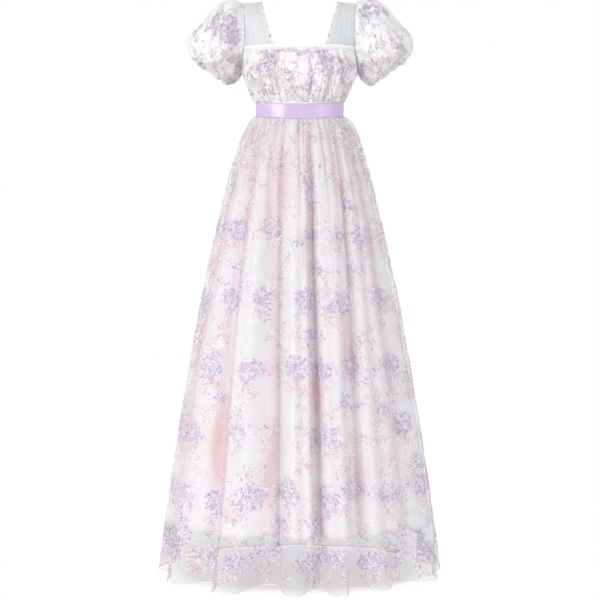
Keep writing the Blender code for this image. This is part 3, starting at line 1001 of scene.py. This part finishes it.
def lace_keep(along, height, low, free, rise, width):
    """Which cells of a lace band are cloth: scallops with picots, eyelets, and open net under them."""
    phase = np.mod(along / width, 1)
    top = free + rise * np.sin(np.pi * phase) ** 0.7
    picot = 0.45 * np.cos(TAU * along / (width / 6))
    keep = height < top + picot
    x = (phase - 0.5) * width
    centre = free * 0.42
    for k in range(6):
        px, py = EYELET_RING * math.cos(TAU * k / 6), EYELET_RING * math.sin(TAU * k / 6)
        keep &= (x - px) ** 2 + (height - centre - py) ** 2 > EYELET_RADIUS**2
    ground = (height < centre - 3.0) & (height > low + 1.4)
    row = np.floor(height / NET_ROW)
    net_x = np.mod(along + (row % 2) * NET_COLUMN / 2, NET_COLUMN) - NET_COLUMN / 2
    net_y = np.mod(height, NET_ROW) - NET_ROW / 2
    keep &= ~(ground & (net_x**2 + net_y**2 < NET_HOLE**2))
    return keep


def lace_piece(name, surface, along, height, low, free, rise, width, material):
    """A lace band on a surface whose rows run down from its scalloped edge."""
    s = (along[:-1] + along[1:]) / 2
    h = (height[:-1] + height[1:]) / 2
    keep = lace_keep(s[None, :], h[:, None], low, free, rise, width)
    return cloth_piece(name, surface, material, keep)


def add_painted_shade_and_reflection(piece, column, z, creased, seed):
    """Marks where pink is painted on the lining: painted shade in its creases and on the right sides of its
    folds, and painted reflection of the embroidery in patches near its valleys.
    """
    rng = np.random.default_rng(seed + 90)
    across = np.mod(column, 2)
    # Painted shade on the right sides of the folds, away from the key light, and in the creases.
    shaded = ease((across - 0.55) / 0.5) * (across < 1 + VALLEY_LEAN)
    tint = 0.3 * shaded * (1 + ripples(seed + 7, z / 300 + column, 5, 0.3))
    tint += np.clip(creased / 12, 0, 0.3)
    # Patches of painted pink reflection near the valleys.
    for _ in range(30):
        middle = 2 * rng.integers(0, int(column.max()) // 2) + 1.1 + rng.normal(0, 0.25)
        height = rng.uniform(-1240, -300)
        wide, tall = rng.uniform(0.15, 0.4), rng.uniform(30, 80)
        away = ((column - middle) / wide) ** 2 + ((z - height) / tall) ** 2
        tint += rng.uniform(0.5, 1.0) * np.exp(-away)
    add_layer(piece, "painted_shade_and_reflection", tint)


def build_skirt(parts, net, lining, edging, thread):
    """The net overlay with its embroidery and bound hem, and the lining with its own hem."""
    share = np.linspace(0, 1, 124) ** 1.12
    heights = WAIST_SEAM + (HEM - WAIST_SEAM) * share
    lining_share = np.linspace(0, 1, 80) ** 1.1
    lining_heights = WAIST_SEAM + (LINING_HEM - WAIST_SEAM) * lining_share
    for side, folds, seed in (("front", FRONT_FOLDS, 3), ("back", back_folds(), 11)):
        sides = len(folds) - 1
        wide, narrow = Pleats(seed, 17, sides, 6.5, 190, 0.42), Pleats(seed + 1, 44, sides, 2.6, 75, 0.38)
        creases = Creases(seed + 2, 12 if side == "front" else 20, sides, 9, 330, 0.08)
        if side == "front":
            creases.add(MAIN_CREASES)
        gathers = (wide, narrow, creases)
        column, z = np.meshgrid(np.linspace(0, sides, sides * 20 + 1), heights)
        overlay = Surface(skirt_surface(folds, column, z, False, gathers, seed))
        piece = cloth_piece(f"skirt_{side}_net", overlay, net)
        # Painted shade on the net below the lining's hem.
        add_layer(piece, "unlined_painted_shade", ease((LINING_HEM + 8 - z) / 12))
        motifs = skirt_motifs(seed + 40, overlay, heights)
        flowers = embroider(f"skirt_{side}_embroidery", overlay, motifs, thread)
        flowers.visible_shadow = False
        hem = tube(f"skirt_{side}_hem", overlay.points[-1] - overlay.normals[-1] * 0.3, 1.6, edging)
        column, z = np.meshgrid(np.linspace(0, sides, sides * 16 + 1), lining_heights)
        under = Surface(skirt_surface(folds, column, z, True, gathers, seed))
        white = cloth_piece(f"underskirt_{side}_lining", under, lining)
        # Painted pink shade and painted reflection on the lining.
        add_painted_shade_and_reflection(white, column, z, -creases.out(column, RIBBON_BOTTOM - z), seed)
        thicken(white, 0.8)
        turned = tube(f"underskirt_{side}_hem", under.points[-1], 1.0, lining)
        parts[f"skirt_{side}"] = (piece, [flowers, hem])
        parts[f"underskirt_{side}"] = (white, [turned])


# Bouquets on each bodice panel: right of the middle, below the neck, width, height, spray directions.
BODICE_BOUQUETS = [
    (-72, 40, 44, 66, [80, -70, 170]),
    (66, 34, 48, 62, [95, -80, 10]),
    (2, 22, 30, 20, [-90, 30, 150]),
    (-112, 62, 24, 40, [80, -100]),
    (112, 58, 24, 44, [100, -80]),
    (-22, 84, 22, 26, [100, -90]),
    (34, 92, 20, 24, [90, -90]),
]


def build_bodice(parts, cloth, lining, thread):
    """The gathered bodice panels with their embroidery."""
    for side, neck, seed in (("front", FRONT_NECK, 21), ("back", BACK_NECK, 22)):
        front = side == "front"
        heights = np.linspace(neck, WAIST_SEAM, 60)
        columns = 241 if front else 191
        share, z = np.meshgrid(np.linspace(-1, 1, columns), heights)
        low = Pleats(seed, 26 if front else 20, 2, 4.0, 75, 0.42)
        high = Pleats(seed + 5, 34, 2, 1.1, 26, 0.42)
        fade = np.sqrt(np.maximum(0, 1 - share**2)) ** 0.6
        waist_ease = ease((z - RIBBON_TOP) / 6)
        out = low.out(share + 1, z - RIBBON_TOP) * waist_ease + high.out(share + 1, neck - z)
        creases = Creases(seed + 9, 30 if front else 22, 2, 7, 120, 0.013)
        out = out + creases.out(share + 1, z - RIBBON_TOP) * ease((neck - z) / 14)
        out = out * fade + ripples(seed, share * 6, 4, 1.6) * fade * ease((z - RIBBON_TOP) / 50)
        points = bodice_surface(share, z, front, out)
        surface = Surface(points if front else points[:, ::-1])
        piece = cloth_piece(f"bodice_{side}_net", surface, cloth)
        thicken(piece, 1.2, lining)
        rng = np.random.default_rng(seed + 60)
        middle = (columns - 1) / 2
        motifs = []
        for right, fall, width, tall, sprays in BODICE_BOUQUETS:
            row = float(np.interp(fall, surface.fall[:, int(middle)], np.arange(len(heights))))
            along = surface.along[int(row)]
            centre = np.interp(middle, np.arange(columns), along)
            column = float(np.interp(centre + right, along, np.arange(columns)))
            motifs.append((row, column, bouquet(rng, width, tall, sprays, 45, 5.6)))
        for _ in range(150):
            row, column = rng.uniform(0.06, 0.9) ** 0.8 * len(heights), rng.uniform(0.03, 0.97) * columns
            threads = PALE_THREADS if rng.uniform() < 0.7 else PINK_THREADS
            motifs.append((row, column, spray(rng, 0, 0, rng.uniform(-2.0, -1.1), 32, threads, 5.5)))
        flowers = embroider(f"bodice_{side}_embroidery", surface, motifs, thread)
        parts[f"bodice_{side}"] = (piece, [flowers])


def sleeve_points(turns, ring, side):
    """Points of a sleeve; ring runs from 0 at the armhole to the last ring inside the cuff."""
    rings = [armhole(turns)]
    for top_x, top_z, low_x, low_z, depth in SLEEVE:
        up, forward = np.cos(turns), np.sin(turns)
        x = (top_x + low_x) / 2 + (top_x - low_x) / 2 * up
        z = (top_z + low_z) / 2 + (top_z - low_z) / 2 * up
        rings.append(np.stack([x, -depth * forward, z], -1))
    flat = np.array(rings).reshape(len(rings), -1)
    table = np.column_stack([np.arange(len(rings)), flat])
    points = np.moveaxis(smooth_read(table, ring), 0, -1).reshape(len(ring), len(turns), 3)
    points[..., 0] *= side
    return points


# Lilac trusses on each sleeve: ring, turn from the shoulder to the front, width, height, spray directions.
SLEEVE_TRUSSES = {
    "right": [
        (2.4, 80, 78, 52, [200, -60]),
        (3.3, 55, 46, 38, [150, 30]),
        (1.5, 94, 40, 42, [250, -40]),
        (3.0, 178, 52, 34, [90, 270]),
        (2.4, 262, 60, 40, [45, 200]),
        (4.6, 318, 46, 34, [120, 300]),
    ],
    "left": [
        (1.8, 50, 52, 36, [180, -30]),
        (5.2, 70, 30, 24, [80, -90]),
        (1.6, 140, 26, 22, [270, 180]),
        (3.4, 200, 50, 34, [90, 200]),
        (2.2, 268, 60, 42, [20, 160]),
        (4.4, 312, 48, 34, [60, 240]),
    ],
}

# Fans of long pink leaves on each sleeve: ring, turn, the way they point, and their size.
SLEEVE_FANS = {
    "right": [
        (3.4, 122, 90, 26),
        (5.2, 106, 60, 24),
        (2.4, 138, 110, 24),
        (4.3, 40, 200, 20),
        (3.4, 290, 0, 24),
    ],
    "left": [
        (3.6, 138, 80, 24),
        (5.6, 60, 250, 20),
        (5.0, 120, 90, 22),
        (3.0, 30, 300, 20),
        (3.4, 250, 0, 24),
    ],
}


# A sleeve's grid: columns round it, rows down to the last full ring, and that ring. Its gathers are
# counted on a scale of their own round the sleeve.
SLEEVE_COLUMNS = 224
SLEEVE_ROWS = 60
LAST_FULL_RING = 6.9
SLEEVE_SCALE = 40


def sleeve_place(ring, turn, side):
    """The row and column of a sleeve's grid at a ring and a turn in degrees."""
    share = turn / 360
    column = (1 - share) * SLEEVE_COLUMNS - 1 if side > 0 else share * SLEEVE_COLUMNS
    return ring / LAST_FULL_RING * SLEEVE_ROWS, column


def build_sleeves(parts, cloth, thread, lining):
    """The puffed sleeves, gathered at the armhole and the cuff, with their embroidery."""
    turns = np.arange(SLEEVE_COLUMNS) / SLEEVE_COLUMNS * TAU
    ring = np.concatenate([np.linspace(0, LAST_FULL_RING, SLEEVE_ROWS + 1), np.linspace(7, len(SLEEVE), 8)])
    around = np.arange(SLEEVE_COLUMNS)[None] / SLEEVE_COLUMNS * SLEEVE_SCALE
    for name, side, seed in (("left", 1, 31), ("right", -1, 32)):
        points = sleeve_points(turns, ring, side)
        if side > 0:
            points = points[:, ::-1]
        plain = Surface(points, closed=True)
        from_armhole = plain.fall[:, :-1].mean(axis=1)[:, None]
        from_cuff = from_armhole[-1] - from_armhole
        head = Pleats(seed, 34, SLEEVE_SCALE, 3.2, 48, 0.42)
        cuff = Pleats(seed + 3, 38, SLEEVE_SCALE, 3.2, 50, 0.42)
        out = head.out(around, from_armhole) + cuff.out(around, from_cuff)
        for number, distance in ((13, from_armhole), (15, from_cuff)):
            out = out + Creases(seed + number, number, SLEEVE_SCALE, 4.5, 75, 0.45).out(around, distance)
        rng = np.random.default_rng(seed)
        for wave in range(4, 11):
            size = rng.uniform(0.5, 1.5) * np.sin(np.pi * np.clip(ring / 7, 0, 1))[:, None]
            out = out + size * np.cos(wave * TAU * around / SLEEVE_SCALE + rng.uniform(0, TAU))
        points = points + plain.normals[:, :-1] * out[..., None]
        surface = Surface(points, closed=True)
        piece = cloth_piece(f"sleeve_{name}_net", surface, cloth)
        thicken(piece, 0.7, lining)
        motifs = []
        for ring_at, turn, width, tall, sprays in SLEEVE_TRUSSES[name]:
            flowers = bouquet(rng, width, tall, sprays, 40, 5.8)
            motifs.append((*sleeve_place(ring_at, turn, side), flowers))
        for ring_at, turn, points_to, size in SLEEVE_FANS[name]:
            leaves = fan(rng, 0, 0, math.radians(points_to), size)
            motifs.append((*sleeve_place(ring_at, turn, side), leaves))
        for k in range(90):
            row, column = rng.uniform(0.04, 0.93) * len(ring), rng.uniform(0, SLEEVE_COLUMNS)
            threads = PINK_THREADS if k % 4 == 0 else PALE_THREADS
            motifs.append((row, column, spray(rng, 0, 0, rng.uniform(0, TAU), 34, threads, 6.5)))
        flowers = embroider(f"sleeve_{name}_embroidery", surface, motifs, thread)
        parts[f"sleeve_{name}"] = (piece, [flowers])


def build_ribbon(parts, satin):
    """The satin ribbon, a little wavy over the gathers, with its edges turned in."""
    rows, columns = 15, 360
    turns = np.arange(columns) / columns * TAU
    share = np.linspace(0, 1, rows)[:, None]
    z = RIBBON_TOP + (RIBBON_BOTTOM - RIBBON_TOP) * share
    section = smooth_read(SKIRT, np.minimum(z, WAIST_SEAM))
    rng = np.random.default_rng(5)
    wave = sum(rng.uniform(0.06, 0.2) * np.cos(k * turns + rng.uniform(0, TAU)) for k in range(7, 26, 3))
    curl = 0.8 * np.abs(2 * share - 1) ** 6
    out = 1.4 + wave[None] * (0.6 + 0.8 * np.abs(2 * share - 1)) - curl
    section = [np.broadcast_to(part, (rows, columns)) for part in section]
    points = oval(z + 0 * turns[None], *section, turns[None] + 0 * z, out)
    surface = Surface(points, closed=True)
    piece = cloth_piece("ribbon_satin", surface, satin)
    thicken(piece, 0.5)
    parts["ribbon_belt"] = (piece, [])


def build_straps(parts, cloth, lace):
    """The softly pleated straps and the lace on their inner edges."""
    first = float(armhole_turn(FRONT_NECK, True)) + 0.05
    last = float(armhole_turn(BACK_NECK, False)) - 0.05
    for name, side in (("left", 1), ("right", -1)):
        turn, across = np.meshgrid(np.linspace(first, last, 110), np.linspace(0, 1, 28), indexing="ij")
        points = strap_surface(turn, across, side)
        points = points[:, ::-1] if side > 0 else points
        plain = Surface(points)
        folds = 0.35 * np.cos(TAU * 4.2 * across) + 0.2 * np.cos(TAU * 7.3 * across + 1.2 * turn)
        folds = folds[:, ::-1] if side > 0 else folds
        surface = Surface(points + plain.normals * (folds * np.sin(np.pi * across) ** 0.5)[..., None])
        piece = cloth_piece(f"strap_{name}_cloth", surface, cloth)
        thicken(piece, 1.2)
        parts[f"strap_{name}"] = (piece, [])

        # The lace runs along the inner edge, and its rows run from its scallops towards the armhole.
        turns = np.linspace(first - 0.07, last + 0.07, 520)
        inner = strap_surface(turns, 0.0, side)
        toward = unit(strap_surface(turns, 0.12, side) - inner)
        along = np.concatenate([[0], np.cumsum(np.linalg.norm(np.diff(inner, axis=0), axis=1))])
        height = np.linspace(11, -4, 29)
        normal = unit(np.cross(np.gradient(inner, axis=0), toward) * -side)
        points = inner[None] - toward[None] * height[:, None, None] + normal[None] * 0.7
        if side > 0:
            points, along = points[:, ::-1], along[-1] - along[::-1]
        band = lace_piece(f"strap_lace_{name}_band", Surface(points), along, height, -4, 4.0, 7.0, 26, lace)
        parts[f"strap_lace_{name}"] = (band, [])


def build_neck_lace(parts, lace):
    """The lace edging along the front and back necklines."""
    for side, neck in (("front", FRONT_NECK), ("back", BACK_NECK)):
        front = side == "front"
        share = np.linspace(-0.985, 0.985, 560)
        height = np.linspace(9.2, -6.5, 32)
        rows = []
        for h in height:
            lift = 1.5 if h < 0 else 1.5 + 0.12 * h
            row = bodice_surface(share, neck + min(h, 0), front, lift)
            row[:, 2] += max(h, 0)
            rows.append(row if front else row[::-1])
        surface = Surface(np.array(rows))
        along = surface.along[len(height) // 2]
        piece = lace_piece(f"neck_lace_{side}_band", surface, along, height, -6.5, 6.4, 2.2, 9.8, lace)
        parts[f"neck_lace_{side}"] = (piece, [])


def build_lights():
    """Soft rectangular lights that face the middle of the gown."""
    for name, place, height, power in LIGHTS:
        data = bpy.data.lights.new(name, "AREA")
        data.shape = "RECTANGLE"
        data.size, data.size_y = LIGHT_SIZE
        data.energy = power
        light = bpy.data.objects.new(name, data)
        light.location = place
        facing = Vector((0, 0, height)) - Vector(place)
        light.rotation_euler = facing.to_track_quat("-Z", "Y").to_euler()
        bpy.context.scene.collection.objects.link(light)


def build_floor():
    """A pale floor that glows softly, with a painted soft shadow of the gown where it glows less."""
    steps, radii = 120, np.linspace(0, FLOOR_RADIUS, 60)
    turn, radius = np.meshgrid(np.arange(steps) / steps * TAU, radii)
    x, y = radius * np.cos(turn), radius * np.sin(turn)
    points = np.stack([x, y, np.full(x.shape, FLOOR)], -1).reshape(-1, 3)
    floor = add_mesh("floor", points, grid_faces(len(radii), steps, closed=True), smooth=False)
    half_width, half_depth, behind = SHADE
    away = np.abs(x / half_width) ** SHADE_SQUARE + np.abs((y - behind) / half_depth) ** SHADE_SQUARE
    away = away ** (1 / SHADE_SQUARE)
    # Painted shadow: the glow is low round and behind the gown and full outside it.
    add_layer(floor, "glow", SHADE_LIGHT + (1 - SHADE_LIGHT) * ease((away - SHADE_EDGE) / SHADE_FADE))
    grey, light_grey = (0.83, 0.83, 0.83), (0.85, 0.85, 0.85)
    made, tree, shader = new_material("pale_floor")
    mottle(tree, shader, grey, light_grey, 3)
    blend_in(tree, shader, "glow", (0.0, 0.0, 0.0))
    lit = add_node(tree, "ShaderNodeVertexColor", layer_name="glow")
    tree.links.new(lit.outputs["Color"], shader.inputs["Emission Color"])
    set_inputs(shader, Roughness=0.9, Emission_Strength=1.0)
    floor.data.materials.append(made)


def build_studio():
    """The camera at the photograph's distance and height, soft light all round, and the floor."""
    scene = bpy.context.scene
    scene.view_settings.view_transform = "Standard"
    camera = bpy.data.objects.new("camera", bpy.data.cameras.new("camera"))
    camera.data.sensor_width = SENSOR
    camera.data.lens = SENSOR * CAMERA_AWAY / VIEW_WIDTH
    camera.location = (CAMERA_RIGHT, -CAMERA_AWAY, CAMERA_HEIGHT)
    camera.rotation_euler = (math.radians(90), 0, 0)
    scene.collection.objects.link(camera)
    scene.camera = camera

    world = bpy.data.worlds.new("studio")
    world.use_nodes = True
    scene.world = world
    tree = world.node_tree
    soft = tree.nodes["Background"]
    set_inputs(soft, Color=(1.0, 0.995, 0.995, 1), Strength=SOFT_LIGHT)
    plain = add_node(tree, "ShaderNodeBackground", Strength=1.0)
    set_inputs(plain, Color=(1, 1, 1, 1))
    rays = add_node(tree, "ShaderNodeLightPath")
    mix = add_node(tree, "ShaderNodeMixShader")
    tree.links.new(rays.outputs["Is Camera Ray"], mix.inputs["Fac"])
    tree.links.new(soft.outputs[0], mix.inputs[1])
    tree.links.new(plain.outputs[0], mix.inputs[2])
    tree.links.new(mix.outputs[0], tree.nodes["World Output"].inputs["Surface"])

    build_lights()
    build_floor()


def main():
    net, cloth, lining = net_material(), backed_net_material(), lining_material()
    lace = lace_material("cotton_lace", (250, 250, 250), (253, 253, 253))
    strap_lace = lace_material("strap_lace", (222, 225, 227), (230, 233, 235))
    satin, thread, edging = ribbon_material(), thread_material(), edging_material()
    parts = {}
    build_skirt(parts, net, lining, edging, thread)
    build_bodice(parts, cloth, lining, thread)
    build_sleeves(parts, cloth, thread, lining)
    build_ribbon(parts, satin)
    build_straps(parts, strap_material(), strap_lace)
    build_neck_lace(parts, lace)
    for node, (piece, others) in parts.items():
        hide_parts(node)
    build_studio()


main()
